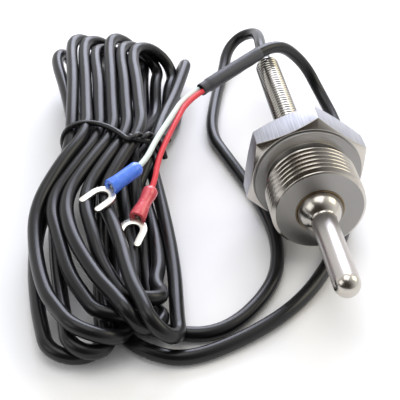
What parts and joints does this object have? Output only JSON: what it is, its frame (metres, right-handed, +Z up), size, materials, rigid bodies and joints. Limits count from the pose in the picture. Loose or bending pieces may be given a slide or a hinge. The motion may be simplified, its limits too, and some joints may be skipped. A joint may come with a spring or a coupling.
{
  "type": "screw-in temperature sensor",
  "caption": "Screw-in stainless temperature sensor: closed probe with ball shoulder, hexagon with pipe thread, strain-relief spring, and a tied black cable ending in insulated fork terminals.",
  "frame": {"origin": "bottom centre of the sensor's own body, without the free cable, on the surface it lies on", "axes": "+Z up, -Y along the sensor's axis to the probe's tip, +X to the right seen from the tip"},
  "size_m": [0.1021, 0.1576, 0.0367],
  "materials": {
    "stainless": "satin turned stainless steel",
    "spring_steel": "bright drawn stainless wire",
    "ceramic": "fired alumina, named as plastic because the list has no ceramic",
    "copper_wire": "bare copper",
    "cement": "dry filler, named as plastic because the list has no mineral",
    "potting_resin": "cast epoxy",
    "cable_jacket": "satin black PVC",
    "tie_plastic": "black plastic-coated wire",
    "heat_shrink": "shrunk polyolefin",
    "white_insulation": "PVC",
    "red_insulation": "PVC",
    "blue_nylon": "moulded insulation",
    "red_nylon": "moulded insulation",
    "tinned_copper": "bright tin plate"
  },
  "bodies": {
    "root": {"process_fitting": "stainless", "probe_sheath": "stainless", "tail_ferrule": "stainless", "strain_relief_spring": "spring_steel", "sensing_element": "ceramic", "white_element_wire": "copper_wire", "red_element_wire": "copper_wire", "sheath_filler": "cement", "potting_plug": "potting_resin", "cable_in_spring": "cable_jacket", "cable_to_hank": "cable_jacket", "cable_hank": "cable_jacket", "cable_to_split": "cable_jacket", "hank_tie": "tie_plastic", "split_sleeve": "heat_shrink", "white_lead": "white_insulation", "red_lead": "red_insulation", "blue_terminal_sleeve": "blue_nylon", "red_terminal_sleeve": "red_nylon", "blue_terminal_fork": "tinned_copper", "red_terminal_fork": "tinned_copper", "white_conductor": "copper_wire", "red_conductor": "copper_wire"}
  },
  "joints": []
}
